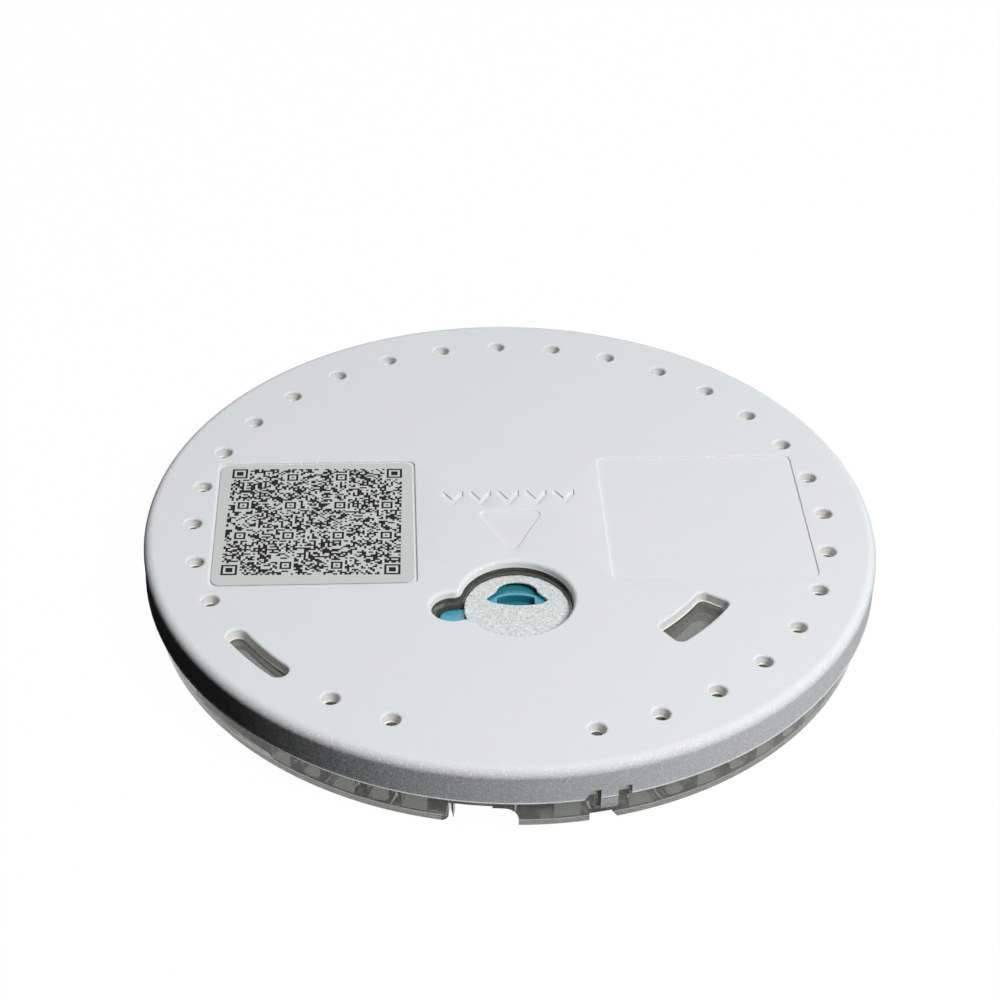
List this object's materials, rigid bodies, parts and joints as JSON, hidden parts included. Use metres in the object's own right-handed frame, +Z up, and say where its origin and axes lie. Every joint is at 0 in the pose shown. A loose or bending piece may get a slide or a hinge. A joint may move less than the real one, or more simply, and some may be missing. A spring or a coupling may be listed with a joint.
{
  "type": "analyzer reagent disc",
  "caption": "Round single-use reagent disc for a bench chemistry analyzer: white cover with a ring of windows on a clear cuvette rotor, with a press-down diluent capsule.",
  "frame": {"origin": "middle of the face that the disc rests on, on the disc's axis", "axes": "+Z up out of the cover's face, -Y towards the sample inlet, +X to the right seen from the inlet side"},
  "size_m": [0.08, 0.08, 0.0079],
  "materials": {
    "white_cover": "pearl white moulded",
    "label_film": "printed film",
    "frosted_film": "frosted",
    "clear_acrylic": "clear moulded",
    "blue_polypropylene": "translucent moulded",
    "aluminium_foil": "foil",
    "pale_reagent": "freeze-dried",
    "yellow_reagent": "freeze-dried",
    "rose_reagent": "freeze-dried"
  },
  "bodies": {
    "rotor": {"top_cover": "white_cover", "code_label": "label_film", "inlet_disc": "frosted_film", "rotor_lid": "clear_acrylic", "rotor_base": "clear_acrylic", "reagent_bead_01": "rose_reagent", "reagent_bead_02": "pale_reagent", "reagent_bead_03": "rose_reagent", "reagent_bead_04": "pale_reagent", "reagent_bead_05": "pale_reagent", "reagent_bead_06": "pale_reagent", "reagent_bead_07": "pale_reagent", "reagent_bead_08": "rose_reagent", "reagent_bead_09": "pale_reagent", "reagent_bead_10": "pale_reagent", "reagent_bead_11": "pale_reagent", "reagent_bead_12": "pale_reagent", "reagent_bead_13": "pale_reagent", "reagent_bead_14": "pale_reagent", "reagent_bead_15": "pale_reagent", "reagent_bead_16": "pale_reagent", "reagent_bead_17": "pale_reagent", "reagent_bead_18": "pale_reagent", "reagent_bead_19": "pale_reagent", "reagent_bead_20": "yellow_reagent", "reagent_bead_21": "yellow_reagent", "reagent_bead_22": "pale_reagent", "reagent_bead_23": "pale_reagent", "reagent_bead_24": "pale_reagent", "reagent_bead_25": "rose_reagent"},
    "capsule": {"diluent_capsule": "blue_polypropylene", "capsule_foil": "aluminium_foil"}
  },
  "joints": [
    {"name": "capsule_press", "type": "slide", "parent": "rotor", "child": "capsule", "axis": [0, 0, -1], "range_m": [0, 0.001]}
  ]
}
